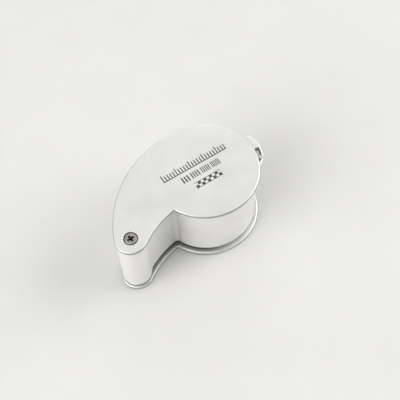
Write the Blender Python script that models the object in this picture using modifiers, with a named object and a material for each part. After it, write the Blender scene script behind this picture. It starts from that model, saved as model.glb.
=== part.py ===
# Folding jeweller's loupe with a built-in light.
# A comma-shaped cover (two flat plates and a curved spine) carries a lens
# housing that swings out sideways about a pivot at the narrow end.
#
# Frame: origin on the pivot axis, at the underside of the bottom plate.
# +Z goes up through the top plate, +X runs from the pivot to the lens centre
# with the loupe closed, +Y is the side of the closed spine.
# Dimensions are in millimetres, and the builders turn them into metres.
import math
from math import radians

import bpy
import bmesh
from mathutils import Matrix, Vector

MM = 0.001

# ---------------------------------------------------------------- dimensions
# cover outline: four arcs and a notch
LENS_X = 33.3          # pivot axis to lens axis
R_BIG = 17.5           # round end, about the lens axis
R_TIP = 5.17           # narrow end, about the pivot
R_BACK = 37.35         # convex back
R_HOLLOW = 32.86       # hollow side
NOTCH_DEG = -170.2     # where the hollow side meets the round end
NOTCH_FILLET = 0.7

# plates
PLATE_T = 1.2
TOP_Z0 = 24.9          # underside of the top plate
TOP_Z1 = TOP_Z0 + PLATE_T
EDGE_ROUND = 0.45

# lens housing
HSG_IN = 1.31          # inset of the housing wall from the plates' edge
HSG_Z0, HSG_Z1 = 2.6, 24.6
WALL = 1.2
FLOOR = 1.2
R_HUB = 4.75
HUB_BORE = 2.85
HUB_SEGMENTS = 40
LID_T = 1.2
LIP = 0.9              # rim left standing round the lid
BLEND = 5.0            # fillet from the hub to the hollow side
LID_SCREW_XY = (20.8, 13.0)

# parts that the housing has openings for
R_BARREL = 13.9
R_GLASS = 12.5
LENS_SEGMENTS = 48
BARREL_SEGMENTS = 56
BATTERY_XY = (9.6, 5.4)
LED_R = 1.5
LEDS = ((17.3, 2.6), (19.3, 8.6))
CAP_R = 5.5
CAP_SEGMENTS = 36

# heights between which tools pass right through the housing or the lid
THROUGH = (0, 30)
LID_THROUGH = (20, 30)
FLOOR_THROUGH = (0, HSG_Z0 + FLOOR + 1)

# longest chords of the outlines
STEP = 2.0
NOTCH_STEP = 0.35
TIP_STEP = 0.7
MAX_TURN = radians(14)  # largest angle of one chord

# ---------------------------------------------------------------- materials
SATIN = (0.74, 0.75, 0.76)
NYLON = ((0.75, 0.76, 0.74), 0.5, 0.0, 0.0)
GLASS = ((0.9, 0.95, 0.95), 0.02, 0.0, 1.0)
MATT_BLACK = ((0.03, 0.03, 0.03), 0.6, 0.0, 0.0)
CELL = ((0.62, 0.62, 0.6), 0.25, 1.0, 0.0)
LAMP = ((0.95, 0.95, 0.85), 0.1, 0.0, 0.6)

# name: (base colour, roughness, metallic, transmission)
MATERIALS = {
    "satin_plate": (SATIN, 0.35, 0.9, 0.0),
    "satin_plate_low": (SATIN, 0.35, 0.9, 0.0),
    "satin_spine": (SATIN, 0.38, 0.9, 0.0),
    "satin_housing": ((0.68, 0.67, 0.65), 0.4, 0.8, 0.0),
    "steel": ((0.42, 0.40, 0.37), 0.3, 1.0, 0.0),
    "post_steel": ((0.55, 0.54, 0.52), 0.35, 1.0, 0.0),
    "washer_steel": ((0.6, 0.6, 0.6), 0.3, 1.0, 0.0),
    "nylon": NYLON,
    "nylon_upper": NYLON,
    "lid_black": ((0.04, 0.04, 0.045), 0.45, 0.0, 0.0),
    "lid_screw_steel": ((0.5, 0.5, 0.5), 0.3, 1.0, 0.0),
    "barrel_black": ((0.02, 0.02, 0.022), 0.4, 0.0, 0.0),
    "glass": GLASS,
    "glass_upper": GLASS,
    "spacer_black": ((0.02, 0.02, 0.02), 0.6, 0.0, 0.0),
    "ring_black": ((0.03, 0.03, 0.03), 0.35, 0.3, 0.0),
    "sleeve_black": MATT_BLACK,
    "holder_black": MATT_BLACK,
    "cell_steel_1": CELL,
    "cell_steel_2": CELL,
    "cell_steel_3": CELL,
    "contact_nickel": ((0.7, 0.66, 0.55), 0.3, 1.0, 0.0),
    "led_1_clear": LAMP,
    "led_2_clear": LAMP,
    "board_green": ((0.03, 0.22, 0.08), 0.5, 0.0, 0.0),
    "resistor_black": ((0.05, 0.05, 0.06), 0.5, 0.0, 0.0),
    "switch_steel": ((0.6, 0.6, 0.6), 0.35, 1.0, 0.0),
    "knob_satin": ((0.78, 0.79, 0.8), 0.3, 0.8, 0.0),
    "lead_red_skin": ((0.5, 0.03, 0.03), 0.5, 0.0, 0.0),
    "lead_black_skin": ((0.02, 0.02, 0.02), 0.5, 0.0, 0.0),
    "cap_satin": ((0.62, 0.62, 0.62), 0.35, 0.9, 0.0),
    "spring_steel": ((0.6, 0.6, 0.58), 0.3, 1.0, 0.0),
}


def make_material(name):
    colour, roughness, metallic, transmission = MATERIALS[name]
    mat = bpy.data.materials.new(name)
    mat.use_nodes = True
    inputs = mat.node_tree.nodes["Principled BSDF"].inputs
    inputs["Base Color"].default_value = (*colour, 1.0)
    inputs["Roughness"].default_value = roughness
    inputs["Metallic"].default_value = metallic
    inputs["Transmission Weight"].default_value = transmission
    return mat


# ---------------------------------------------------------------- outline maths
PIVOT = Vector((0.0, 0.0))
LENS = Vector((LENS_X, 0.0))


def unit(deg):
    return Vector((math.cos(radians(deg)), math.sin(radians(deg))))


def polar(deg, radius, centre=LENS):
    a = radians(deg)
    return Vector((centre.x + radius * math.cos(a), centre.y + radius * math.sin(a)))


def polar_points(table):
    """Points from (degrees, radius) pairs about the lens axis."""
    return [polar(deg, radius) for deg, radius in table]


def toward(centre, target, radius):
    """Point on a circle in the direction of a target."""
    return centre + (target - centre).normalized() * radius


def circle_cross(centre0, r0, centre1, r1, near):
    """The crossing of two circles that lies nearer to a given point."""
    dist = (centre1 - centre0).length
    along = (r0 * r0 - r1 * r1 + dist * dist) / (2 * dist)
    across = math.sqrt(max(0.0, r0 * r0 - along * along))
    u = (centre1 - centre0) / dist
    v = Vector((-u.y, u.x))
    crossings = (centre0 + u * along + v * across, centre0 + u * along - v * across)
    return min(crossings, key=lambda point: (point - near).length)


def bearing(centre, point):
    return math.atan2(point.y - centre.y, point.x - centre.x)


def arc(centre, radius, start, end, step=STEP):
    """Points on a circle between two angles (radians), either way round."""
    turn = end - start
    n = max(1, math.ceil(abs(turn) * radius / step), math.ceil(abs(turn) / MAX_TURN))
    angles = [start + turn * i / n for i in range(n + 1)]
    return [centre + Vector((math.cos(a), math.sin(a))) * radius for a in angles]


def arc_between(centre, radius, first, last, step=STEP, clockwise=False):
    start, end = bearing(centre, first), bearing(centre, last)
    if clockwise:
        while end > start:
            end -= 2 * math.pi
    else:
        while end < start:
            end += 2 * math.pi
    return arc(centre, radius, start, end, step)


# points that pick out one of two circle crossings
BELOW = Vector((0, -40))
TIP_HOLLOW_SIDE = Vector((3, -6))
TIP_BACK_SIDE = Vector((-1, 6))

NOTCH = polar(NOTCH_DEG, R_BIG)
# centre of the convex back, tangent to both ends
BACK = circle_cross(PIVOT, R_BACK - R_TIP, LENS, R_BACK - R_BIG, BELOW)
# centre of the hollow side, which lies outside the cover
HOLLOW = circle_cross(PIVOT, R_TIP + R_HOLLOW, NOTCH, R_HOLLOW, BELOW)


def comma(inset, tip_r, notch_fillet, tip_fillet=0.0):
    """Closed comma outline, anticlockwise, set in from the plates' edge."""
    r_hollow, r_big, r_back = R_HOLLOW + inset, R_BIG - inset, R_BACK - inset
    tip_is_tangent = abs(tip_r - (R_TIP - inset)) < 1e-6
    arcs = []

    # narrow end to hollow side
    if tip_fillet > 0:
        blend = circle_cross(HOLLOW, r_hollow - tip_fillet,
                             PIVOT, tip_r + tip_fillet, TIP_HOLLOW_SIDE)
        tip_end = toward(PIVOT, blend, tip_r)
        hollow_start = toward(HOLLOW, blend, r_hollow)
        arcs.append(arc_between(blend, tip_fillet, tip_end, hollow_start, clockwise=True))
    elif tip_is_tangent:
        tip_end = hollow_start = toward(PIVOT, HOLLOW, tip_r)
    else:
        tip_end = circle_cross(HOLLOW, r_hollow, PIVOT, tip_r, TIP_HOLLOW_SIDE)
        hollow_start = tip_end

    # notch fillet: tangent to the hollow side and to the round end
    fillet = circle_cross(HOLLOW, r_hollow - notch_fillet, LENS, r_big + notch_fillet, NOTCH)
    hollow_end = toward(HOLLOW, fillet, r_hollow)
    round_start = toward(LENS, fillet, r_big)
    round_end = toward(BACK, LENS, r_back)
    if tip_is_tangent:
        back_end = toward(BACK, PIVOT, r_back)
    else:
        back_end = circle_cross(BACK, r_back, PIVOT, tip_r, TIP_BACK_SIDE)

    arcs += [
        arc_between(HOLLOW, r_hollow, hollow_start, hollow_end, clockwise=True),
        arc_between(fillet, notch_fillet, hollow_end, round_start, NOTCH_STEP, clockwise=True),
        arc_between(LENS, r_big, round_start, round_end),
        arc_between(BACK, r_back, round_end, back_end),
        arc_between(PIVOT, tip_r, back_end, tip_end, TIP_STEP),
    ]
    # each arc ends where the next begins
    return [point for points in arcs for point in points[:-1]]


# ---------------------------------------------------------------- builders
def put(ob, material=None):
    """Link a part with its material, or a tool, which has none."""
    if material is None:
        TOOLS.objects.link(ob)
    else:
        PARTS.objects.link(ob)
        ob.data.materials.append(make_material(material))
    return ob


def put_bmesh(name, bm, material=None):
    me = bpy.data.meshes.new(name)
    bm.to_mesh(me)
    bm.free()
    return put(bpy.data.objects.new(name, me), material)


def poly_curve(name, dimensions, points, cyclic=False):
    """Curve data with one straight-sided spline through (x, y, z) points."""
    cu = bpy.data.curves.new(name, 'CURVE')
    cu.dimensions = dimensions
    spline = cu.splines.new('POLY')
    spline.points.add(len(points) - 1)
    for target, (x, y, z) in zip(spline.points, points):
        target.co = (x * MM, y * MM, z * MM, 1.0)
    spline.use_cyclic_u = cyclic
    return cu


def solid(name, outline, z0, z1, material=None, frame=Matrix.Identity(4)):
    """Flat outline, filled and extruded between two heights of a frame."""
    cu = poly_curve(name + "_outline", '2D', [(x, y, 0.0) for x, y in outline], cyclic=True)
    cu.fill_mode = 'BOTH'
    cu.extrude = (z1 - z0) / 2 * MM
    temp = bpy.data.objects.new(name + "_curve", cu)
    temp.matrix_world = frame @ Matrix.Translation((0, 0, (z0 + z1) / 2 * MM))
    TOOLS.objects.link(temp)
    bpy.context.view_layer.update()
    depsgraph = bpy.context.evaluated_depsgraph_get()
    me = bpy.data.meshes.new_from_object(temp.evaluated_get(depsgraph))
    me.name = name
    bm = bmesh.new()
    bm.from_mesh(me)
    # weld the caps to the sides
    bmesh.ops.remove_doubles(bm, verts=bm.verts, dist=0.000002)
    bmesh.ops.recalc_face_normals(bm, faces=bm.faces)
    bm.transform(temp.matrix_world)
    bm.to_mesh(me)
    bm.free()
    bpy.data.objects.remove(temp, do_unlink=True)
    return put(bpy.data.objects.new(name, me), material)


def box(name, size, centre, turn=0.0, material=None):
    """Box turned about its vertical axis by an angle in radians."""
    bm = bmesh.new()
    bmesh.ops.create_cube(bm, size=1.0)
    bmesh.ops.scale(bm, vec=[s * MM for s in size], verts=bm.verts)
    bmesh.ops.rotate(bm, matrix=Matrix.Rotation(turn, 3, 'Z'), verts=bm.verts)
    bmesh.ops.translate(bm, vec=[c * MM for c in centre], verts=bm.verts)
    return put_bmesh(name, bm, material)


def rod(name, radius, z0, z1, at=(0, 0), segments=32):
    """Upright cylinder, used as a tool."""
    bm = bmesh.new()
    bmesh.ops.create_cone(bm, cap_ends=True, segments=segments, radius1=radius * MM,
                          radius2=radius * MM, depth=(z1 - z0) * MM)
    bmesh.ops.translate(bm, vec=(at[0] * MM, at[1] * MM, (z0 + z1) / 2 * MM), verts=bm.verts)
    return put_bmesh(name, bm)


def turned(name, profile, material, at=(0, 0), steps=32):
    """Profile (r, z) swept round its own vertical axis.
    It runs down its outer side, top to bottom. One that starts on the axis
    also ends there and stays open; any other is closed."""
    bm = bmesh.new()
    verts = [bm.verts.new((r * MM, 0, z * MM)) for r, z in profile]
    for a, b in zip(verts, verts[1:]):
        bm.edges.new((a, b))
    if profile[0][0] > 0:
        bm.edges.new((verts[-1], verts[0]))
    ob = put_bmesh(name, bm, material)
    ob.location = (at[0] * MM, at[1] * MM, 0)
    screw = ob.modifiers.new("turn", 'SCREW')
    screw.axis = 'Z'
    screw.steps = steps
    screw.render_steps = steps
    screw.use_merge_vertices = True
    screw.merge_threshold = 0.000001
    return ob


def collar(r_out, r_in, z0, z1):
    """Profile of a plain ring."""
    return [(r_out, z1), (r_out, z0), (r_in, z0), (r_in, z1)]


def wire(name, points, radius, material):
    cu = poly_curve(name, '3D', points)
    cu.bevel_depth = radius * MM
    cu.bevel_resolution = 1
    cu.use_fill_caps = True
    return put(bpy.data.objects.new(name, cu), material)


def boolean(ob, tool, operation):
    tool.hide_render = True
    tool.display_type = 'WIRE'
    modifier = ob.modifiers.new(operation.lower(), 'BOOLEAN')
    modifier.operation = operation
    modifier.solver = 'EXACT'
    modifier.object = tool


def cut(ob, tool):
    boolean(ob, tool, 'DIFFERENCE')


def fuse(ob, tool):
    boolean(ob, tool, 'UNION')


def cut_cross(ob, prefix, size, centre, first_deg):
    """Cross recess of a screw head."""
    for i in range(2):
        cut(ob, box(f"{prefix}_{i}", size, centre, radians(first_deg + 90 * i)))


def round_edge(ob, width, angle=50):
    bevel = ob.modifiers.new("edge", 'BEVEL')
    bevel.width = width * MM
    bevel.segments = 2
    bevel.limit_method = 'ANGLE'
    bevel.angle_limit = radians(angle)


# ---------------------------------------------------------------- cover
HEAD_SEAT_R = 2.25     # counterbore for the flush screw head
HEAD_SEAT_Z = 25.3     # its floor
SCREW_HOLE_R = 1.3
POST_R = 1.7
POST_SEAT_R = 3.3      # counterbore for the post's flange
POST_SEAT_Z = 0.7

SPINE_OUT = 0.10       # inset of its outer face from the plates' edge
SPINE_T = 1.0
SPINE_Z0, SPINE_Z1 = 1.4, 24.7
SPINE_END_DEG = 1.5    # its end on the round end, about the lens axis
SPINE_TIP_OUT = 6.3    # its other end: outer face's distance from the pivot
SPINE_TIP_IN = 5.35    # and the inner face's

TAB = (2.4, 0.5, SPINE_Z1 - SPINE_Z0 + 1.1)
TAB_SLOT = (2.8, 0.9, 1.2)
# tab places: centre of the arc, its radius, degrees about that centre
TABS = ((LENS, R_BIG, 15.0), (LENS, R_BIG, 56.0), (BACK, R_BACK, 88.0), (BACK, R_BACK, 114.0))


def build_plates():
    outline = comma(0.0, R_TIP, NOTCH_FILLET)
    top = solid("top_plate", outline, TOP_Z0, TOP_Z1, "satin_plate")
    bottom = solid("bottom_plate", outline, 0.0, PLATE_T, "satin_plate_low")
    for plate in (top, bottom):
        round_edge(plate, EDGE_ROUND)
    cut(top, rod("cut_top_hole", SCREW_HOLE_R, TOP_Z0 - 1, TOP_Z1 + 1))
    cut(top, rod("cut_head_seat", HEAD_SEAT_R, HEAD_SEAT_Z, TOP_Z1 + 1))
    cut(bottom, rod("cut_post_hole", POST_R + 0.2, -1, PLATE_T + 1))
    cut(bottom, rod("cut_post_seat", POST_SEAT_R, -1, POST_SEAT_Z))
    return top, bottom


def spine_face(inset, tip_distance):
    """One face of the spine, along the round end and then the convex back."""
    r_back = R_BACK - inset
    end = circle_cross(BACK, r_back, PIVOT, tip_distance, TIP_BACK_SIDE)
    round_part = arc(LENS, R_BIG - inset, radians(SPINE_END_DEG), bearing(BACK, LENS))
    return round_part[:-1] + arc_between(BACK, r_back, LENS, end)


def build_spine(top, bottom):
    outer = spine_face(SPINE_OUT, SPINE_TIP_OUT)
    inner = spine_face(SPINE_OUT + SPINE_T, SPINE_TIP_IN)
    spine = solid("spine_wall", outer + inner[::-1], SPINE_Z0, SPINE_Z1, "satin_spine")
    # tabs on the spine's edges press into blind slots in the plates
    for i, (centre, radius, deg) in enumerate(TABS):
        x, y = polar(deg, radius - SPINE_OUT - SPINE_T / 2, centre)
        turn = radians(deg + 90)
        fuse(spine, box(f"tab_{i}", TAB, (x, y, (SPINE_Z0 + SPINE_Z1) / 2), turn))
        for plate, z in ((top, TOP_Z0), (bottom, PLATE_T)):
            cut(plate, box(f"slot_{i}_{plate.name}", TAB_SLOT, (x, y, z), turn))


# ---------------------------------------------------------------- pivot
POST_TOP = 24.6
POST_BORE = 1.25
FLANGE_R, FLANGE_T = 3.0, 0.55
SCREW_R = 1.0
HEAD_R = 1.95
HEAD_TOP = TOP_Z1 - 0.05    # just below the plate's face
HEAD_Z0 = HEAD_SEAT_Z + 0.1
BUSH_R, BUSH_BORE = 2.6, 1.95
BUSH_FLANGE_R = 4.4         # also the washer's radius
UPPER_FLANGE_R = 3.7


def build_pivot():
    turned("pivot_post",
           [(POST_R, POST_TOP), (POST_R, FLANGE_T), (FLANGE_R, FLANGE_T), (FLANGE_R, 0.0),
            (0.0, 0.0), (0.0, 8.0), (POST_BORE, 8.7), (POST_BORE, POST_TOP)],
           "post_steel")
    screw = turned("pivot_screw",
                   [(0.0, HEAD_TOP), (HEAD_R - 0.2, HEAD_TOP), (HEAD_R, HEAD_TOP - 0.15),
                    (HEAD_R, HEAD_Z0), (SCREW_R, HEAD_Z0), (SCREW_R, 12.4),
                    (0.75, 12.0), (0.0, 12.0)],
                   "steel")
    cut_cross(screw, "cross", (2.2, 0.7, 1.0), (0, 0, HEAD_TOP), -9)
    turned("friction_washer", collar(BUSH_FLANGE_R, BUSH_BORE, 1.45, 1.85), "washer_steel")
    turned("pivot_bush_lower",
           [(BUSH_R, 11.0), (BUSH_R, 2.45), (BUSH_FLANGE_R, 2.45), (BUSH_FLANGE_R, 2.0),
            (BUSH_BORE, 2.0), (BUSH_BORE, 11.0)],
           "nylon")
    turned("pivot_bush_upper",
           [(UPPER_FLANGE_R, 24.55), (UPPER_FLANGE_R, 24.1), (BUSH_R, 24.1), (BUSH_R, 14.0),
            (BUSH_BORE, 14.0), (BUSH_BORE, 24.55)],
           "nylon_upper")


# ---------------------------------------------------------------- lens housing
HSG_FILLET = 1.6
LENS_OPEN = 12.9       # opening in the floor
LUG_Z0 = 21.2
BOSS_R = 1.6           # pillar for the lid screw
CAVITY_TIP_R = 3.2
BAYONET = (13.0, 2.6, FLOOR + 3)
POCKET_Z = (22.0, 25.3)

# thumb lug at the far end, steep towards the spine: (degrees, radius) about the lens
LUG = (
    (-0.6, 17.6), (-2.2, 19.1), (-4.4, 19.85), (-8.5, 20.15), (-13.5, 20.3),
    (-18.0, 20.25), (-22.0, 20.0), (-26.0, 19.85), (-29.0, 19.7), (-31.5, 19.5),
    (-33.5, 19.15), (-35.5, 18.65), (-37.5, 18.05), (-39.5, 17.4), (-41.5, 16.5),
    (-34, 15.6), (-20, 15.6), (-8, 15.6), (-0.6, 15.6),
)
# pocket for the switch, open at the top: (degrees, radius) about the lens
POCKET = (
    (-19.5, 17.45), (-19.5, 19.65), (-22.5, 19.45), (-26.0, 19.35), (-29.0, 19.2),
    (-31.5, 19.0), (-33.5, 18.65), (-35.5, 18.15), (-37.0, 17.45), (-33.0, 17.45),
    (-28.5, 17.45), (-24.0, 17.45),
)


def cavity_tool():
    """Inside of the housing, leaving the floor, the wall, the hub and the boss."""
    cavity = solid("cut_cavity", comma(HSG_IN + WALL, CAVITY_TIP_R, 0.8),
                   HSG_Z0 + FLOOR, HSG_Z1 - LID_T - 0.1)
    cut(cavity, rod("keep_hub", R_HUB - 0.05, *THROUGH))
    cut(cavity, rod("keep_boss", BOSS_R, *THROUGH, LID_SCREW_XY, 20))
    return cavity


def build_housing():
    housing = solid("lens_housing", comma(HSG_IN, R_HUB, HSG_FILLET, BLEND),
                    HSG_Z0, HSG_Z1, "satin_housing")
    lug = solid("lug", polar_points(LUG), LUG_Z0, HSG_Z1)
    round_edge(lug, 0.35, angle=60)
    fuse(housing, lug)
    cut(housing, cavity_tool())
    # rebate for the lid
    cut(housing, solid("cut_rebate", comma(HSG_IN + LIP, R_HUB - LIP, 1.2, BLEND),
                       HSG_Z1 - LID_T - 0.15, HSG_Z1 + 1))
    cut(housing, rod("cut_hub_bore", HUB_BORE, *THROUGH, segments=HUB_SEGMENTS))
    cut(housing, rod("cut_lens_opening", LENS_OPEN, *FLOOR_THROUGH, LENS, BARREL_SEGMENTS))
    for i, place in enumerate(LEDS):
        cut(housing, rod(f"cut_led_{i}", LED_R + 0.2, *FLOOR_THROUGH, place, 24))
    cut(housing, rod("cut_cap_opening", CAP_R + 0.2, *FLOOR_THROUGH, BATTERY_XY, CAP_SEGMENTS))
    cut(housing, box("cut_bayonet", BAYONET, (*BATTERY_XY, HSG_Z0), radians(57.0)))
    cut(housing, rod("cut_lid_screw", 0.6, 16.0, 30, LID_SCREW_XY, 16))
    cut(housing, solid("cut_switch", polar_points(POCKET), *POCKET_Z))


# ---------------------------------------------------------------- housing lid
LID_GAP = 0.15         # between the lid's edge and the rim
LID_SCREW_TOP = HSG_Z1 - 0.1
LID_SCREW_SEAT = HSG_Z1 - 0.55   # underside of its head


def build_lid():
    outline = comma(HSG_IN + LIP + LID_GAP, R_HUB - LIP - LID_GAP, 1.35, BLEND + LID_GAP)
    lid = solid("housing_lid", outline, HSG_Z1 - LID_T, HSG_Z1 - 0.05, "lid_black")
    cut(lid, rod("cut_lid_lens", R_BARREL + 0.2, *LID_THROUGH, LENS, BARREL_SEGMENTS))
    cut(lid, rod("cut_lid_hub", HUB_BORE, *LID_THROUGH, segments=HUB_SEGMENTS))
    # recess for the flange of the upper bush
    cut(lid, rod("cut_lid_flange", UPPER_FLANGE_R + 0.25, HSG_Z1 - 0.75, 30,
                 segments=HUB_SEGMENTS))
    cut(lid, rod("cut_lid_screw_hole", 0.95, *LID_THROUGH, LID_SCREW_XY, 20))
    cut(lid, rod("cut_lid_screw_seat", 1.75, HSG_Z1 - 0.7, 30, LID_SCREW_XY, 24))


def build_lid_screw():
    screw = turned("lid_screw",
                   [(0.0, LID_SCREW_TOP), (1.2, LID_SCREW_TOP), (1.5, HSG_Z1 - 0.3),
                    (1.5, LID_SCREW_SEAT), (0.75, LID_SCREW_SEAT), (0.75, 23.6),
                    (0.45, 23.4), (0.45, 17.6), (0.0, 17.2)],
                   "lid_screw_steel", LID_SCREW_XY, 24)
    cut_cross(screw, "lid_cross", (1.5, 0.35, 0.5), (*LID_SCREW_XY, LID_SCREW_TOP), 20)


# ---------------------------------------------------------------- optics
BARREL_BORE = 12.7
BARREL_LIP_R = 11.8    # inside the lip at the barrel's lower end
BARREL_Z0, BARREL_Z1 = 4.0, 24.5


def lens_profile(edge_z0, edge_z1, sag_low, sag_high, n=5):
    """Biconvex section from the top of the axis down to the bottom of it."""
    def cap(sag, sign, edge_z):
        sphere = (R_GLASS * R_GLASS + sag * sag) / (2 * sag)
        radii = [R_GLASS * i / n for i in range(n + 1)]
        return [(r, edge_z + sign * (math.sqrt(sphere ** 2 - r ** 2) - (sphere - sag)))
                for r in radii]
    return cap(sag_high, 1, edge_z1) + cap(sag_low, -1, edge_z0)[::-1]


def build_optics():
    turned("lens_barrel",
           [(R_BARREL, BARREL_Z1), (R_BARREL, BARREL_Z0), (BARREL_LIP_R, BARREL_Z0),
            (BARREL_LIP_R, 5.0), (BARREL_BORE, 5.0), (BARREL_BORE, BARREL_Z1)],
           "barrel_black", LENS, BARREL_SEGMENTS)
    turned("lens_lower", lens_profile(5.2, 7.0, 1.5, 3.2), "glass", LENS, LENS_SEGMENTS)
    turned("lens_upper", lens_profile(19.8, 21.6, 3.2, 1.7), "glass_upper", LENS, LENS_SEGMENTS)
    turned("lens_spacer", collar(R_GLASS, 11.9, 7.6, 19.2), "spacer_black", LENS, LENS_SEGMENTS)
    ring = turned("retaining_ring",
                  [(R_GLASS, 23.4), (R_GLASS, 22.1), (11.6, 22.1), (11.2, 23.4)],
                  "ring_black", LENS, LENS_SEGMENTS)
    cut(ring, box("cut_spanner", (30, 1.4, 0.8), (LENS_X, 0, 23.3), radians(65)))


# ---------------------------------------------------------------- cells and lamps
CELL_R, CELL_T = 4.75, 2.7
CELL_TOP_R = 3.7       # raised face of a cell
CELL_COUNT = 3
CELL_PITCH = CELL_T + 0.15
CELLS_Z0 = 6.6
CONTACT_R, CONTACT_T = 4.2, 0.35
HOLDER_Z = (5.0, 7.2)
# carrier for the two lamps: (x, y)
HOLDER = (
    (15.25, 1.2), (17.4, 0.2), (18.95, 1.9), (18.3, 5.6),
    (21.0, 7.6), (20.6, 10.6), (17.4, 10.4), (16.0, 6.6),
)
# lamp with its domed end down: (r, z)
LED_PROFILE = (
    (0.0, 8.2), (1.75, 8.2), (1.75, 7.4), (LED_R, 7.4),
    (LED_R, 4.0), (1.3, 3.4), (0.85, 2.95), (0.0, 2.75),
)


def build_cells():
    turned("battery_sleeve", collar(5.55, 5.0, 6.3, 15.6), "sleeve_black", BATTERY_XY, 40)
    for i in range(CELL_COUNT):
        z0 = CELLS_Z0 + i * CELL_PITCH
        z1 = z0 + CELL_T
        turned(f"button_cell_{i + 1}",
               [(0.0, z1), (CELL_TOP_R, z1), (CELL_TOP_R, z1 - 0.3), (CELL_R, z1 - 0.3),
                (CELL_R, z0 + 0.2), (CELL_R - 0.2, z0), (0.0, z0)],
               f"cell_steel_{i + 1}", BATTERY_XY, 28)
    z0 = CELLS_Z0 + CELL_COUNT * CELL_PITCH
    z1 = z0 + CONTACT_T
    turned("contact_plate", [(0.0, z1), (CONTACT_R, z1), (CONTACT_R, z0), (0.0, z0)],
           "contact_nickel", BATTERY_XY)


def build_lamps():
    holder = solid("led_holder", HOLDER, *HOLDER_Z, "holder_black")
    for i, place in enumerate(LEDS):
        cut(holder, rod(f"cut_holder_{i}", LED_R + 0.15, 0, 12, place, 24))
        turned(f"led_{i + 1}", LED_PROFILE, f"led_{i + 1}_clear", place, 24)


# ---------------------------------------------------------------- circuit board
BOARD_Z = (16.2, 17.0)
# the board's edge beyond its rounded end over the cells: (x, y)
BOARD_EDGE = ((13.2, 0.6), (18.6, 1.2), (18.4, 5.2), (20.2, 7.0), (20.0, 10.4), (14.0, 11.4))
BOARD_ROUND_R = 4.6
RESISTOR = (2.2, 1.1, 0.6)
RESISTOR_AT = (15.6, 8.4, 17.5)
RESISTOR_TURN = 0.2    # radians


def build_board():
    rounded = [polar(deg, BOARD_ROUND_R, Vector(BATTERY_XY)) for deg in range(115, 300, 20)]
    solid("circuit_board", rounded + list(BOARD_EDGE), *BOARD_Z, "board_green")
    box("resistor", RESISTOR, RESISTOR_AT, RESISTOR_TURN, "resistor_black")


# ---------------------------------------------------------------- switch
SWITCH_DEG = -25.0     # direction of the pocket from the lens axis
SWITCH_R = 18.5        # distance of the pocket's middle from the lens axis
KNOB_REST = -2.35      # knob's place along the pocket, positive towards the spine
KNOB_HALF_WIDTH = 0.45
SWITCH_Z = (22.2, 23.5)
# switch body in the pocket: (degrees, radius) about the lens
SWITCH_BODY = (
    (-20.4, 17.75), (-20.4, 19.32), (-22.5, 19.15), (-26.0, 19.05), (-29.0, 18.9),
    (-31.3, 18.68), (-33.0, 18.35), (-34.6, 17.9), (-34.8, 17.75), (-32.0, 17.75),
    (-28.0, 17.75), (-24.0, 17.75),
)
# side view of the knob, its stem in the pocket and its arm over the rim:
# (distance outwards from the pocket's middle, z)
KNOB_SIDE = (
    (-0.75, 23.8), (-0.4, 23.8), (-0.4, 24.9), (1.05, 24.9),
    (1.05, 25.5), (0.05, 25.5), (0.05, 25.2), (-0.75, 25.2),
)


def build_switch():
    solid("switch_body", polar_points(SWITCH_BODY), *SWITCH_Z, "switch_steel")
    along, outward = unit(SWITCH_DEG + 90), unit(SWITCH_DEG)
    origin = (polar(SWITCH_DEG, SWITCH_R) + along * KNOB_REST) * MM
    # the side view's x points outwards and its y points up
    frame = Matrix(((outward.x, 0.0, -along.x, origin.x),
                    (outward.y, 0.0, -along.y, origin.y),
                    (0.0, 1.0, 0.0, 0.0),
                    (0.0, 0.0, 0.0, 1.0)))
    knob = solid("switch_knob", KNOB_SIDE, -KNOB_HALF_WIDTH, KNOB_HALF_WIDTH,
                 "knob_satin", frame)
    round_edge(knob, 0.1, angle=40)


# ---------------------------------------------------------------- leads
LEAD_R = 0.2
LEAD_START_Z = 17.35
LEAD_STEPS = 12
# name, height, x and y of the start, first and last degrees round the barrel
LEADS = (
    ("lead_red", 20.6, 18.0, 8.6, 152, 5),
    ("lead_black", 18.6, 18.4, 3.6, 193, 335),
)


def build_leads():
    # midway between the barrel and the housing wall
    radius = (R_BARREL + (R_BIG - HSG_IN - WALL)) / 2
    for name, height, x, y, first, last in LEADS:
        points = [(x, y, LEAD_START_Z), (x + 0.1, y + 0.1, height - 0.3)]
        for i in range(LEAD_STEPS + 1):
            deg = first + (last - first) * i / LEAD_STEPS
            points.append((*polar(deg, radius), height))
        wire(name, points, LEAD_R, name + "_skin")


# ---------------------------------------------------------------- battery cap
CAP_Z0, CAP_Z1 = 2.2, 3.75
CAP_LUGS = (12.2, 2.0, 0.7)
CAP_LUGS_Z = 4.4
COIN_SLOT = (7.6, 1.1, 0.8)
SPRING_TURNS = 2.0
SPRING_STEPS = 20
SPRING_Z0, SPRING_RISE = 5.1, 1.15
SPRING_R, SPRING_TAPER = 3.0, 1.4
SPRING_WIRE_R = 0.16


def build_cap():
    cap = turned("battery_cap",
                 [(0.0, CAP_Z1), (CAP_R, CAP_Z1), (CAP_R, CAP_Z0 + 0.3),
                  (CAP_R - 0.3, CAP_Z0), (0.0, CAP_Z0)],
                 "cap_satin", BATTERY_XY, CAP_SEGMENTS)
    fuse(cap, box("cap_lugs", CAP_LUGS, (*BATTERY_XY, CAP_LUGS_Z), radians(-3.0)))
    fuse(cap, rod("cap_stem", 3.4, 3.5, 4.75, BATTERY_XY))
    cut(cap, box("cut_coin", COIN_SLOT, (*BATTERY_XY, CAP_Z0), radians(30.0)))


def build_spring():
    """Conical coil, narrowing upwards."""
    x, y = BATTERY_XY
    coil = []
    for i in range(SPRING_STEPS + 1):
        f = i / SPRING_STEPS
        a = 2 * math.pi * SPRING_TURNS * f
        r = SPRING_R - SPRING_TAPER * f
        coil.append((x + r * math.cos(a), y + r * math.sin(a), SPRING_Z0 + SPRING_RISE * f))
    wire("battery_spring", coil, SPRING_WIRE_R, "spring_steel")


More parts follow.
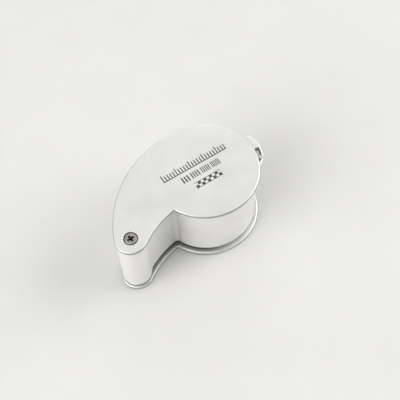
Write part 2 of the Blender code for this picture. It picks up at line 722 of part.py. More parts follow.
# ---------------------------------------------------------------- build
for ob in list(bpy.data.objects):
    bpy.data.objects.remove(ob, do_unlink=True)
PARTS = bpy.data.collections.new("folding_loupe")
TOOLS = bpy.data.collections.new("cutters")
for collection in (PARTS, TOOLS):
    bpy.context.scene.collection.children.link(collection)

build_spine(*build_plates())
build_pivot()
build_housing()
build_lid()
build_lid_screw()
build_optics()
build_cells()
build_lamps()
build_board()
build_switch()
build_leads()
build_cap()
build_spring()

for ob in PARTS.objects:
    if ob.type == 'MESH':
        ob.data.shade_smooth()
        ob.data.set_sharp_from_angle(angle=radians(35))
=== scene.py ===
import math
import bpy
import bmesh
from mathutils import Matrix, Vector


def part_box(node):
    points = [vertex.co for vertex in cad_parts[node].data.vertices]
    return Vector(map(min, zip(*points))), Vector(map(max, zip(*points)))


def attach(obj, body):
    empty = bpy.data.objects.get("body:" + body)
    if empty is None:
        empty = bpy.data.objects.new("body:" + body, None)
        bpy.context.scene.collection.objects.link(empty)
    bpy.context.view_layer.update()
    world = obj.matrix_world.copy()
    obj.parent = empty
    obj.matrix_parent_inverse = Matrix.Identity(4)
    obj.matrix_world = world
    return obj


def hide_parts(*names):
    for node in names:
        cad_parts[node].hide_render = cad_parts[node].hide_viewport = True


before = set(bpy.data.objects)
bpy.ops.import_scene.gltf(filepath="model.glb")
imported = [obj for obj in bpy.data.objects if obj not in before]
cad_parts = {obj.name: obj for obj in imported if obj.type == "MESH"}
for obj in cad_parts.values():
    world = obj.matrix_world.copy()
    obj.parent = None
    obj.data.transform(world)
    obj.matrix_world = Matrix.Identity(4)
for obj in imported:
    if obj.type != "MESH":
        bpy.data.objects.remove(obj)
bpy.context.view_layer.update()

MM = 0.001
scene = bpy.context.scene
COLL = scene.collection


# ---------------------------------------------------------------- dimensions
def heights(node):
    """Lower and upper height of a frame piece."""
    return [corner.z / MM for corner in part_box(node)]


def middle(node):
    """Plan centre of a frame piece."""
    low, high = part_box(node)
    return round((low.x + high.x) / 2 / MM, 2), round((low.y + high.y) / 2 / MM, 2)


TOP_Z0, TOP_Z1 = heights("top_plate")
BOTTOM_Z0, BOTTOM_Z1 = heights("bottom_plate")
HOUSING_Z0, HOUSING_Z1 = heights("lens_housing")
SPINE_Z0, SPINE_Z1 = 1.4, 24.7
LENS_X = middle("lens_barrel")[0]
BATTERY = middle("battery_sleeve")
LID_SCREW = middle("lid_screw")
PIVOT = Vector((0.0, 0.0))
LENS = Vector((LENS_X, 0.0))

# the plates' comma outline: disc round the lens, tip round the pivot, long
# convex back on the +Y side, hollow on the -Y side, notch between hollow and disc
DISC_R, TIP_R, BACK_R, HOLLOW_R = 17.5, 5.17, 37.35, 32.86
NOTCH_DEG, NOTCH_FILLET = -170.2, 0.7
PLATE_EDGE = 0.45

# spine wall, set in from the outline, and the tabs that key it into both plates
SPINE_INSET, SPINE_T, SPINE_END_DEG = 0.10, 1.0, 1.5
SPINE_MID = SPINE_INSET + SPINE_T / 2

# lens housing and its lid
HOUSING_INSET, WALL, FLOOR = 1.31, 1.2, 1.2
HUB_R, HUB_BORE = 4.75, 2.85
HOUSING_FILLET, NECK_FILLET, LEDGE_FILLET = 1.6, 5.0, 1.2
LID_T, LIP, LID_GAP = 1.2, 0.9, 0.15
LID_Z0, LID_Z1 = HOUSING_Z1 - LID_T, HOUSING_Z1 - 0.05
ABOVE_ALL = 30      # height that cutting tools reach, clear of every piece

# optics
BARREL_R, SEAT_BORE, GLASS_R, LENS_OPENING_R, SPACER_BORE = 13.9, 12.7, 12.5, 12.9, 11.9

# pivot
POST_R, POST_BORE, SHANK_R, HEAD_R, BUSH_BORE, BUSH_R = 1.7, 1.25, 1.0, 1.95, 1.95, 2.6
HEAD_SEAT_R, HEAD_SEAT_Z, HEAD_HOLE_RIM = 2.25, 25.3, 0.16
HEAD_Z = TOP_Z1 - 0.05

# light: cells, LEDs, cap and switch
CELL_R, CELL_T, CELL_COUNT = 4.75, 2.7, 3
CELL_Z0, CELL_PITCH = 6.6, CELL_T + 0.15
CAP_R = 5.5
LED_R, LED_BASE_Z, LED_DOME = 1.5, 4.0, 1.25
LEDS = ((17.3, 2.6), (19.3, 8.6))
SWITCH_DEG, SWITCH_R, SWITCH_REST = -25.0, 18.5, -2.35
LUG_Z0, LUG_ROOT_R = 21.2, 15.2


# ---------------------------------------------------------------- outline maths
def heading(angle):
    return Vector((math.cos(angle), math.sin(angle)))


def quarter(vector):
    """Vector turned a quarter anticlockwise."""
    return Vector((-vector.y, vector.x))


def polar(deg, r, centre=LENS):
    angle = math.radians(deg)
    return Vector((centre.x + r * math.cos(angle), centre.y + r * math.sin(angle)))


def bearing(centre, point):
    return math.atan2(point.y - centre.y, point.x - centre.x)


def circle_cross(centre0, r0, centre1, r1, near):
    """Crossing of two circles that lies nearer to a point."""
    gap = (centre1 - centre0).length
    along = (r0 * r0 - r1 * r1 + gap * gap) / (2 * gap)
    across = math.sqrt(max(0.0, r0 * r0 - along * along))
    axis = (centre1 - centre0) / gap
    normal = quarter(axis)
    left = centre0 + axis * along + normal * across
    right = centre0 + axis * along - normal * across
    return left if (left - near).length < (right - near).length else right


def arc(centre, r, start, end, steps):
    return [centre + heading(start + (end - start) * i / steps) * r for i in range(steps + 1)]


def swept(centre, r, start_point, end_point, steps, clockwise=False):
    """Arc between the bearings of two points, anticlockwise by default."""
    start, end = bearing(centre, start_point), bearing(centre, end_point)
    if clockwise:
        while end > start:
            end -= 2 * math.pi
    else:
        while end < start:
            end += 2 * math.pi
    return arc(centre, r, start, end, steps)


def back_centre():
    """Centre of the back arc, which encloses the disc and the tip tangentially."""
    to_lens, to_pivot = BACK_R - DISC_R, BACK_R - TIP_R
    x = (to_pivot ** 2 - to_lens ** 2 + LENS_X ** 2) / (2 * LENS_X)
    return Vector((x, -math.sqrt(to_pivot ** 2 - x ** 2)))


def hollow_centre():
    """Centre of the hollow arc, which touches the tip and passes the notch."""
    reach = TIP_R + HOLLOW_R
    gap = NOTCH.length
    along = (reach ** 2 - HOLLOW_R ** 2 + gap ** 2) / (2 * gap)
    across = math.sqrt(reach ** 2 - along ** 2)
    axis = NOTCH / gap
    return axis * along - quarter(axis) * across


NOTCH = LENS + heading(math.radians(NOTCH_DEG)) * DISC_R
BACK = back_centre()
HOLLOW = hollow_centre()

# tabs: arc centre, arc radius, bearing in degrees; kept as plan place and turn
TABS = [(polar(deg, r - SPINE_MID, centre), math.radians(deg + 90))
        for centre, r, deg in ((LENS, DISC_R, 15.0), (LENS, DISC_R, 56.0),
                               (BACK, BACK_R, 88.0), (BACK, BACK_R, 114.0))]


def comma(inset, tip_r, fillet, tip_fillet=0.0):
    """Closed comma outline, anticlockwise. The same kind of tip always gives the
    same number of points, so that outlines of different insets can be lofted."""
    hollow_r, disc_r, back_r = HOLLOW_R + inset, DISC_R - inset, BACK_R - inset
    tangent_tip = abs(tip_r - (TIP_R - inset)) < 1e-6
    out = []
    notch = circle_cross(HOLLOW, hollow_r - fillet, LENS, disc_r + fillet, NOTCH)
    hollow_end = HOLLOW + (notch - HOLLOW).normalized() * hollow_r
    disc_start = LENS + (notch - LENS).normalized() * disc_r
    if tip_fillet > 0:
        neck = circle_cross(HOLLOW, hollow_r - tip_fillet, PIVOT, tip_r + tip_fillet,
                            Vector((3, -6)))
        tip_end = PIVOT + (neck - PIVOT).normalized() * tip_r
        hollow_start = HOLLOW + (neck - HOLLOW).normalized() * hollow_r
        out += swept(neck, tip_fillet, tip_end, hollow_start, 8, clockwise=True)[:-1]
    elif tangent_tip:
        tip_end = hollow_start = HOLLOW * (tip_r / HOLLOW.length)
    else:
        tip_end = hollow_start = circle_cross(HOLLOW, hollow_r, PIVOT, tip_r, Vector((3, -5)))
    out += swept(HOLLOW, hollow_r, hollow_start, hollow_end, 34, clockwise=True)[:-1]
    out += swept(notch, fillet, hollow_end, disc_start, 10, clockwise=True)[:-1]
    away = (LENS - BACK).normalized()
    out += swept(LENS, disc_r, disc_start, LENS + away * disc_r, 96)[:-1]
    if tangent_tip:
        tip_start = PIVOT + (PIVOT - BACK).normalized() * tip_r
    else:
        tip_start = circle_cross(BACK, back_r, PIVOT, tip_r, Vector((-1, 6)))
    out += swept(BACK, back_r, BACK + away * back_r, tip_start, 48)[:-1]
    out += swept(PIVOT, tip_r, tip_start, tip_end, 36)[:-1]
    return out


def offset(points, inset):
    """Closed outline moved inwards (anticlockwise outline, mitred)."""
    if abs(inset) < 1e-9:
        return list(points)
    out = []
    for i in range(len(points)):
        before, here, after = (Vector(points[k % len(points)][:2]) for k in (i - 1, i, i + 1))
        mitre = quarter((here - before).normalized()) + quarter((after - here).normalized())
        mitre = mitre / max(0.35, mitre.length_squared / 2)
        out.append(here + mitre * inset)
    return out


def filleted(corners, steps=5):
    """Closed outline from corners (x, y, rounding radius or 0)."""
    out, count = [], len(corners)
    for i, (x, y, radius) in enumerate(corners):
        if radius <= 0:
            out.append((x, y))
            continue
        here = Vector((x, y))
        back = Vector(corners[i - 1][:2]) - here
        ahead = Vector(corners[(i + 1) % count][:2]) - here
        back_len, ahead_len = back.length, ahead.length
        back, ahead = back / back_len, ahead / ahead_len
        half = math.acos(max(-1, min(1, back.dot(ahead)))) / 2
        trim = min(radius / math.tan(half), back_len * 0.48, ahead_len * 0.48)
        fitted = trim * math.tan(half)
        centre = here + (back + ahead).normalized() * (fitted / math.sin(half))
        start = bearing(centre, here + back * trim)
        end = bearing(centre, here + ahead * trim)
        while end - start > math.pi:
            end -= 2 * math.pi
        while end - start < -math.pi:
            end += 2 * math.pi
        out += [tuple(p) for p in arc(centre, fitted, start, end, steps)]
    return out


def rounded(points, radius, steps):
    """Polygon with every corner rounded alike."""
    return filleted([(p[0], p[1], radius) for p in points], steps)


def spline(points, steps=6):
    """Catmull-Rom curve; the first and last points only steer its ends."""
    out = []
    for i in range(1, len(points) - 2):
        p0, p1, p2, p3 = (Vector(p) for p in points[i - 1:i + 3])
        for k in range(steps):
            t = k / steps
            out.append(0.5 * ((2 * p1) + (p2 - p0) * t + (2 * p0 - 5 * p1 + 4 * p2 - p3) * t * t
                              + (3 * p1 - p0 - 3 * p2 + p3) * t ** 3))
    return out + [Vector(points[-2])]


# ---------------------------------------------------------------- mesh builders
def new_object(name, bm):
    bmesh.ops.recalc_face_normals(bm, faces=bm.faces)
    mesh = bpy.data.meshes.new(name)
    bm.to_mesh(mesh)
    bm.free()
    ob = bpy.data.objects.new(name, mesh)
    COLL.objects.link(ob)
    return ob


def skin(name, rings):
    """Closed skin over rings of equally many points in metres, with end caps."""
    bm = bmesh.new()
    rows = [[bm.verts.new(point) for point in ring] for ring in rings]
    count = len(rows[0])
    for low, high in zip(rows, rows[1:]):
        for i in range(count):
            j = (i + 1) % count
            bm.faces.new((low[i], low[j], high[j], high[i]))
    bm.faces.new(rows[0][::-1])
    bm.faces.new(rows[-1])
    return new_object(name, bm)


def loft(name, rings):
    """Skin over level rings, each (plan points, z)."""
    return skin(name, [[(p[0] * MM, p[1] * MM, z * MM) for p in points] for points, z in rings])


def slab(name, shape, z0, z1, round0=0.0, round1=0.0, seg=5):
    """Prism over shape(inset), an outline function, with rounded lower and upper edges."""
    rings = []
    for i in range(seg if round0 > 0 else 0):
        a = math.pi / 2 * i / seg
        rings.append((shape(round0 * (1 - math.sin(a))), z0 + round0 * (1 - math.cos(a))))
    rings.append((shape(0.0), z0 + round0))
    if round1 > 0:
        rings.append((shape(0.0), z1 - round1))
        for i in range(1, seg + 1):
            a = math.pi / 2 * i / seg
            rings.append((shape(round1 * (1 - math.cos(a))), z1 - round1 * (1 - math.sin(a))))
    else:
        rings.append((shape(0.0), z1))
    return loft(name, rings)


def sheet(name, outline, z0, z1, edge, seg):
    """Slab over a fixed outline, both edges rounded."""
    return slab(name, lambda inset: offset(outline, inset), z0, z1, edge, edge, seg)


def prism(name, points, z0, z1):
    return loft(name, [(points, z0), (points, z1)])


def turned(name, profile, at=(0, 0), steps=96):
    """Profile (r, z) swept round a vertical axis. It is closed on itself unless
    both ends are on the axis, where points are shared."""
    bm = bmesh.new()
    rows = []
    turns = [2 * math.pi * i / steps for i in range(steps)]
    for r, z in profile:
        if r < 1e-6:
            rows.append([bm.verts.new((at[0] * MM, at[1] * MM, z * MM))])
        else:
            rows.append([bm.verts.new(((at[0] + r * math.cos(a)) * MM,
                                       (at[1] + r * math.sin(a)) * MM, z * MM)) for a in turns])
    pairs = list(zip(rows, rows[1:]))
    if len(rows[0]) > 1 or len(rows[-1]) > 1:
        pairs.append((rows[-1], rows[0]))
    for a, b in pairs:
        for i in range(steps):
            j = (i + 1) % steps
            face = [a[i % len(a)], b[i % len(b)]]
            if len(b) > 1:
                face.append(b[j])
            if len(a) > 1:
                face.append(a[j])
            if len(face) > 2:
                bm.faces.new(face)
    return new_object(name, bm)


def rod(name, r, z0, z1, at=(0, 0), sides=64):
    turns = [2 * math.pi * i / sides for i in range(sides)]
    return prism(name, [(at[0] + r * math.cos(a), at[1] + r * math.sin(a)) for a in turns], z0, z1)


def block(name, size, centre, turn=0.0):
    bm = bmesh.new()
    bmesh.ops.create_cube(bm, size=1.0)
    bmesh.ops.scale(bm, vec=[s * MM for s in size], verts=bm.verts)
    bmesh.ops.rotate(bm, matrix=Matrix.Rotation(turn, 3, 'Z'), verts=bm.verts)
    bmesh.ops.translate(bm, vec=[c * MM for c in centre], verts=bm.verts)
    return new_object(name, bm)


def turned_rect(size, at, turn):
    """Corners of a plan rectangle turned about its centre."""
    half_x, half_y = size[0] / 2, size[1] / 2
    return place([(-half_x, -half_y), (half_x, -half_y), (half_x, half_y), (-half_x, half_y)],
                 at, turn)


def place(points, at, turn):
    c, s = math.cos(turn), math.sin(turn)
    return [(at[0] + c * p[0] - s * p[1], at[1] + s * p[0] + c * p[1]) for p in points]


def soft_block(name, size, centre, turn, corner, edge):
    """Block with rounded vertical corners and rounded upper and lower edges."""
    ring = rounded(turned_rect(size, (0, 0), 0.0), corner, 4)
    return slab(name, lambda inset: place(offset(ring, inset), centre, turn),
                centre[2] - size[2] / 2, centre[2] + size[2] / 2, edge, edge, 3)


def wire(name, points, r):
    """Round rod along a smoothed path of points."""
    sides = 10
    path = [Vector(p) for p in points]
    path = spline([path[0]] + path + [path[-1]], 4)
    rings, side = [], None
    for i, point in enumerate(path):
        ahead = (path[min(i + 1, len(path) - 1)] - path[max(i - 1, 0)]).normalized()
        if side is None:
            side = ahead.orthogonal().normalized()
        side = (side - ahead * side.dot(ahead)).normalized()
        up = ahead.cross(side)
        turns = [2 * math.pi * k / sides for k in range(sides)]
        rings.append([(point + (side * math.cos(a) + up * math.sin(a)) * r) * MM for a in turns])
    return skin(name, rings)


def settle(ob):
    """The object's evaluated mesh becomes its own mesh, with no modifiers left."""
    bpy.context.view_layer.update()
    graph = bpy.context.evaluated_depsgraph_get()
    mesh = bpy.data.meshes.new_from_object(ob.evaluated_get(graph))
    old = ob.data
    ob.modifiers.clear()
    ob.data = mesh
    mesh.name = ob.name
    bpy.data.meshes.remove(old)
    return ob


def cut(ob, *tools, op='DIFFERENCE'):
    for tool in tools:
        boolean = ob.modifiers.new("b", 'BOOLEAN')
        boolean.operation = op
        boolean.solver = 'EXACT'
        boolean.object = tool
    settle(ob)
    for tool in tools:
        mesh = tool.data
        bpy.data.objects.remove(tool, do_unlink=True)
        bpy.data.meshes.remove(mesh)


def join(ob, *tools):
    cut(ob, *tools, op='UNION')


def bevelled(ob, width, seg=3, angle=60):
    """Edges sharper than an angle rounded off."""
    bevel = ob.modifiers.new("edge", 'BEVEL')
    bevel.width = width * MM
    bevel.segments = seg
    bevel.limit_method = 'ANGLE'
    bevel.angle_limit = math.radians(angle)
    return settle(ob)


def dress(ob, material, body):
    """The object gets its material and moves with a body of the frame."""
    ob.data.materials.clear()
    ob.data.materials.append(material)
    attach(ob, body)


def finish(ob, material, body, angle=35, weighted=True):
    """Smooth shading up to an angle, material, and the place of the frame piece
    that has the same name without "_fine"."""
    ob.data.shade_smooth()
    ob.data.set_sharp_from_angle(angle=math.radians(angle))
    if weighted:
        normals = ob.modifiers.new("normals", 'WEIGHTED_NORMAL')
        normals.keep_sharp = True
        normals.weight = 60
    dress(ob, material, body)
    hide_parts(ob.name.removesuffix("_fine"))


# ---------------------------------------------------------------- materials
def scaled(tone, factor, lift=0.0):
    return tuple(min(1.0, c * factor + lift) for c in tone)


class Mat:
    """A material and short ways to lay out its nodes; most hand back a socket."""

    def __init__(self, name):
        self.material = bpy.data.materials.new(name)
        self.material.use_nodes = True
        self.nodes = self.material.node_tree.nodes
        self.link = self.material.node_tree.links.new
        self.bsdf = self.nodes["Principled BSDF"]
        self.coords = self.node("ShaderNodeTexCoord").outputs["Object"]

    def node(self, kind, **settings):
        node = self.nodes.new(kind)
        for key, value in settings.items():
            setattr(node, key, value)
        return node

    def put(self, socket, value):
        """Link a socket, or set a number or a colour."""
        if isinstance(value, bpy.types.NodeSocket):
            self.link(value, socket)
        elif isinstance(value, tuple):
            socket.default_value = (*value, 1.0)
        else:
            socket.default_value = value

    def surface(self, **inputs):
        """Inputs of the main shader, underscores for spaces."""
        for key, value in inputs.items():
            self.put(self.bsdf.inputs[key.replace("_", " ")], value)

    def noise(self, scale, detail=3, rough=0.6, stretch=(1, 1, 1), turn=0.0, seed=0.0):
        mapping = self.node("ShaderNodeMapping")
        self.link(self.coords, mapping.inputs["Vector"])
        mapping.inputs["Rotation"].default_value = (0, 0, turn)
        mapping.inputs["Scale"].default_value = stretch
        mapping.inputs["Location"].default_value = (seed, seed * 0.7, seed * 0.3)
        noise = self.node("ShaderNodeTexNoise")
        noise.inputs["Scale"].default_value = scale
        noise.inputs["Detail"].default_value = detail
        noise.inputs["Roughness"].default_value = rough
        self.link(mapping.outputs[0], noise.inputs["Vector"])
        return noise.outputs["Fac"]

    def ramp(self, value, lo=0.3, hi=0.7, start=0.0, end=1.0):
        """Value from lo..hi mapped to start..end; the default band suits noise."""
        node = self.node("ShaderNodeMapRange")
        for socket, item in zip(node.inputs, (value, lo, hi, start, end)):
            self.put(socket, item)
        return node.outputs[0]

    def math(self, op, a, b=0.0):
        node = self.node("ShaderNodeMath", operation=op)
        self.put(node.inputs[0], a)
        self.put(node.inputs[1], b)
        return node.outputs[0]

    def mix(self, factor, a, b, blend='MIX'):
        node = self.node("ShaderNodeMix", data_type='RGBA', blend_type=blend)
        self.put(node.inputs[0], factor)
        self.put(node.inputs[6], a)
        self.put(node.inputs[7], b)
        return node.outputs[2]

    def mix_shader(self, factor, a, b):
        """Mixed shader on the material's output."""
        node = self.node("ShaderNodeMixShader")
        for socket, source in zip(node.inputs, (factor, a, b)):
            self.link(source, socket)
        self.link(node.outputs[0], self.nodes["Material Output"].inputs["Surface"])

    def bump(self, height, strength, distance):
        """Bump added over any earlier one, distance in metres."""
        node = self.node("ShaderNodeBump")
        node.inputs["Strength"].default_value = strength
        node.inputs["Distance"].default_value = distance
        self.link(height, node.inputs["Height"])
        normal = self.bsdf.inputs["Normal"]
        if normal.is_linked:
            self.link(normal.links[0].from_socket, node.inputs["Normal"])
        self.link(node.outputs[0], normal)

    def geometry(self, output):
        return self.node("ShaderNodeNewGeometry").outputs[output]

    def axis(self, vector, index):
        node = self.node("ShaderNodeSeparateXYZ")
        self.link(vector, node.inputs[0])
        return node.outputs[index]

    def painted_crevice_shade(self, reach, dark, lo, hi):
        """Painted shade: tone factor from ambient occlusion that drops in corners and narrow gaps,
        reach in millimetres.
        """
        node = self.node("ShaderNodeAmbientOcclusion", samples=8)
        node.inputs["Distance"].default_value = reach * MM
        return self.ramp(node.outputs["AO"], lo, hi, dark, 1.0)


def satin(name, tone, side, metal, rough, brushed=False, corner=None, upto=None, level=0.985):
    """Satin sheet: fine grain, faint cloudy tone. side is the tone of faces that are
    not level, a painted shade and dark reflection along the rounded edges; corner holds
    the settings of painted shade in corners and narrow gaps, which fades out over the
    8 mm past x = upto; level is the uprightness of a normal that counts as a level face."""
    m = Mat(name)
    cloud = m.noise(scale=90, rough=0.55, seed=2.1)
    grain = m.noise(scale=5200, detail=2)
    if brushed:
        lines = m.noise(scale=800, stretch=(0.12, 6.0, 1.0), turn=0.25)
    else:
        lines = m.noise(scale=2200, detail=2, seed=5.3)
    body = m.mix(m.ramp(cloud, lo=0.35, hi=0.65), scaled(tone, 0.965), scaled(tone, 1.02))
    body = m.mix(m.ramp(lines, end=0.35), body, scaled(tone, 0.93))
    # painted shade: faces that are not level take the darker side tone, standing in for shade and
    # dark reflection on rounded edges
    if side is not None:
        upright = m.math('ABSOLUTE', m.axis(m.geometry("Normal"), 2))
        rim = m.ramp(upright, lo=0.72, hi=level)
        streak = m.noise(scale=1500, detail=2, stretch=(1, 1, 0.1))
        painted_edge_shade = m.mix(m.ramp(streak), scaled(side, 0.86), side)
        body = m.mix(rim, painted_edge_shade, body)
    # painted shade: ambient occlusion darkens the colour in corners and narrow gaps, faded out past
    # x = upto
    if corner is not None:
        shade = m.painted_crevice_shade(**corner)
        if upto is not None:
            fade = m.ramp(m.axis(m.coords, 0), lo=upto * MM, hi=(upto + 8) * MM)
            shade = m.math('MAXIMUM', shade, fade)
        body = m.mix(1.0, body, shade, 'MULTIPLY')
    gloss = m.ramp(grain, start=rough - 0.04, end=rough + 0.05)
    gloss = m.math('ADD', gloss, m.ramp(cloud, start=-0.03, end=0.03))
    if side is not None:
        gloss = m.math('ADD', gloss, m.ramp(rim, lo=0.0, hi=1.0, start=0.16, end=0.0))
    m.surface(Base_Color=body, Metallic=metal, Roughness=gloss)
    m.bump(grain, strength=0.25, distance=0.000012)
    m.bump(lines, strength=0.18, distance=0.000012)
    return m.material


def machined(name, tone, rough, painted_hollow_shade=(0.12, 0.11, 0.10), reach=0.0):
    """Machined metal: fine marks, uneven tone, painted shade in hollows up to reach wide,
    or by curvature where reach is 0, and bright edges."""
    m = Mat(name)
    fine = m.noise(scale=2600)
    base = m.mix(m.ramp(m.noise(scale=420, seed=3.0)), scaled(tone, 0.86), tone)
    # painted shade: hollows darken towards the given dark tone, found by ambient occlusion up to
    # reach wide, and by low pointiness where reach is 0
    if reach:
        base = m.mix(m.painted_crevice_shade(reach, dark=0.0, lo=0.35, hi=0.8), painted_hollow_shade, base)
    else:
        hollow = m.ramp(m.geometry("Pointiness"), lo=0.38, hi=0.49, start=1.0, end=0.0)
        base = m.mix(hollow, base, painted_hollow_shade)
    edge = m.ramp(m.geometry("Pointiness"), lo=0.52, hi=0.6)
    base = m.mix(edge, base, scaled(tone, 1.35))
    m.surface(Base_Color=base, Metallic=1.0,
              Roughness=m.ramp(fine, start=rough - 0.06, end=rough + 0.08))
    m.bump(fine, strength=0.2, distance=0.000012)
    return m.material


def moulded(name, tone, rough, grain=2000, depth=0.00001):
    """Moulded plastic: fine spark texture, slightly uneven gloss."""
    m = Mat(name)
    cells = m.node("ShaderNodeTexVoronoi")
    cells.inputs["Scale"].default_value = grain
    m.link(m.coords, cells.inputs["Vector"])
    patches = m.noise(scale=200)
    m.surface(Base_Color=m.mix(m.ramp(patches), scaled(tone, 0.8), scaled(tone, 1.15, 0.004)),
              Roughness=m.ramp(patches, start=rough - 0.06, end=rough + 0.06))
    m.bump(cells.outputs["Distance"], strength=0.35, distance=depth)
    return m.material


def clear(name, tint, rough, ior, coat_nm=0.0):
    """Clear glass that lets light through to what lies under it."""
    m = Mat(name)
    smear = m.noise(scale=260)
    m.surface(Transmission_Weight=1.0, IOR=ior,
              Base_Color=m.mix(m.ramp(smear), tint, scaled(tint, 1.015)),
              Roughness=m.ramp(smear, lo=0.35, hi=0.75, start=rough, end=rough + 0.012))
    if coat_nm:
        m.surface(Thin_Film_Thickness=coat_nm, Thin_Film_IOR=1.38)
    shadow_ray = m.node("ShaderNodeLightPath").outputs["Is Shadow Ray"]
    see_through = m.node("ShaderNodeBsdfTransparent")
    m.put(see_through.inputs[0], scaled(tint, 0.94))
    m.mix_shader(shadow_ray, m.bsdf.outputs[0], see_through.outputs[0])
    return m.material


def printed(name):
    """Dark printing ink, uneven in tone and gloss."""
    m = Mat(name)
    blot = m.noise(scale=3200, rough=0.65)
    tone = m.mix(m.ramp(blot, lo=0.35, hi=0.75), (0.028, 0.028, 0.027), (0.085, 0.085, 0.08))
    m.surface(Base_Color=tone, Roughness=m.ramp(blot, start=0.42, end=0.6))
    m.bump(blot, strength=0.2, distance=0.00001)
    return m.material


# side tones below are painted shade on faces that are not level; corner settings are painted shade
# in corners and gaps: round the top plate's hole and slots, along the bottom plate's ledge near the
# notch, and in the housing's notch
PLATE = satin("satin_plate", tone=(0.80, 0.802, 0.792), side=(0.40, 0.40, 0.395), metal=0.75,
              rough=0.36, brushed=True, corner=dict(reach=1.2, dark=0.12, lo=0.25, hi=0.8))
BASE = satin("satin_base", tone=(0.79, 0.795, 0.785), side=(0.50, 0.51, 0.51), metal=0.75,
             rough=0.36, brushed=True, corner=dict(reach=7.0, dark=0.30, lo=0.10, hi=0.62),
             upto=17.0, level=0.9985)
SPINE = satin("satin_spine", tone=(0.79, 0.79, 0.78), side=None, metal=0.75, rough=0.36)
HOUSING = satin("satin_housing", tone=(0.765, 0.76, 0.735), side=None, metal=0.40, rough=0.36,
                corner=dict(reach=5.0, dark=0.02, lo=0.36, hi=0.84), upto=22.0)
SWITCH = satin("switch_strip", tone=(0.70, 0.73, 0.72), side=None, metal=0.4, rough=0.35)
# the hollow tones of the steel parts are painted shade; the screw's near-black one fills its cross
# recess and the gap round its head
SCREW = machined("screw_steel", tone=(0.46, 0.435, 0.395), rough=0.34,
                 painted_hollow_shade=(0.012, 0.011, 0.009), reach=1.6)
STEEL = machined("steel", tone=(0.56, 0.55, 0.53), rough=0.3)
CELL = machined("cell_steel", tone=(0.64, 0.64, 0.62), rough=0.2)
CONTACT = machined("contact", tone=(0.72, 0.60, 0.36), rough=0.28)
# the side tones of the cap, the knob and the ring are painted shade on faces that are not level
CAP = satin("cap_satin", tone=(0.66, 0.66, 0.65), side=(0.45, 0.45, 0.44), metal=0.7,
            rough=0.33, brushed=True)
KNOB = satin("knob_satin", tone=(0.82, 0.83, 0.84), side=(0.66, 0.67, 0.69), metal=0.7,
             rough=0.22)
NYLON = moulded("nylon", tone=(0.72, 0.73, 0.70), rough=0.45, grain=1400)
LID = moulded("black_lid", tone=(0.022, 0.022, 0.024), rough=0.42, grain=2600, depth=0.00003)
BARREL = moulded("barrel_black", tone=(0.018, 0.018, 0.02), rough=0.38, grain=3200)
RING = satin("black_ring", tone=(0.035, 0.035, 0.037), side=(0.03, 0.03, 0.03), metal=0.4,
             rough=0.34)
GLASS = clear("lens_glass", tint=(0.965, 0.985, 0.975), rough=0.0, ior=1.52, coat_nm=120.0)
LED_CLEAR = clear("led_clear", tint=(0.97, 0.97, 0.93), rough=0.03, ior=1.5)
BOARD = moulded("board", tone=(0.025, 0.16, 0.06), rough=0.35, grain=900)
RED = moulded("red_skin", tone=(0.45, 0.025, 0.02), rough=0.38)
BLACK = moulded("black_skin", tone=(0.02, 0.02, 0.02), rough=0.4)
INK = printed("mark_ink")


# ---------------------------------------------------------------- cover plates
def plate_shape(inset):
    return comma(inset, TIP_R - inset, NOTCH_FILLET + inset)


def tab_slots(z):
    return [block("slot", (2.8, 0.9, 1.2), (p.x, p.y, z), turn) for p, turn in TABS]


# top plate: the hole for the screw head has a rounded rim
top = slab("top_plate_fine", plate_shape, TOP_Z0, TOP_Z1, PLATE_EDGE, PLATE_EDGE, 6)
rim_r = HEAD_SEAT_R + HEAD_HOLE_RIM
rim = [(rim_r - HEAD_HOLE_RIM * math.sin(math.radians(a)),
        TOP_Z1 - HEAD_HOLE_RIM + HEAD_HOLE_RIM * math.cos(math.radians(a)))
       for a in range(0, 91, 15)]
hole = turned("hole", [(0, TOP_Z1 + 1), (rim_r, TOP_Z1 + 1)] + rim
              + [(HEAD_SEAT_R, HEAD_SEAT_Z), (1.3, HEAD_SEAT_Z), (1.3, TOP_Z0 - 1),
                 (0, TOP_Z0 - 1)])
cut(top, hole, *tab_slots(TOP_Z0))
finish(top, PLATE, "cover", angle=40)

bottom = slab("bottom_plate_fine", plate_shape, BOTTOM_Z0, BOTTOM_Z1, PLATE_EDGE, PLATE_EDGE, 6)
cut(bottom, rod("post_hole", POST_R + 0.2, -1, BOTTOM_Z1 + 1),
    rod("flange_recess", 3.3, -1, 0.7, sides=96), *tab_slots(BOTTOM_Z1))
finish(bottom, BASE, "cover", angle=40)

# printed graduations in three rows: millimetre scale, line groups, block scale
ROW_AXIS = heading(math.radians(-14.3))
ROW_UP = quarter(ROW_AXIS)
INK_Z0, INK_T = TOP_Z1 - 0.02, 0.026
SCALE_AT, GROUPS_AT, BLOCKS_AT = (20.9, 5.9), (24.9, 0.95), (26.5, -3.3)
TICK_W, TICK_COUNT, BASE_LINE = 0.38, 24, 0.32
LINE_GROUPS = ((0.5, 3), (0.42, 4), (0.34, 5), (0.28, 6))     # bar width, bar count
BLOCK_W, BLOCK_LOW, BLOCK_MID, BLOCK_HIGH = 1.05, 0.2, 1.15, 2.1


def bar(origin, x0, x1, y0, y1):
    """Corners of one bar: x along the row, y up from its base line."""
    return [Vector(origin) + ROW_AXIS * x + ROW_UP * y
            for x, y in ((x0, y0), (x1, y0), (x1, y1), (x0, y1))]


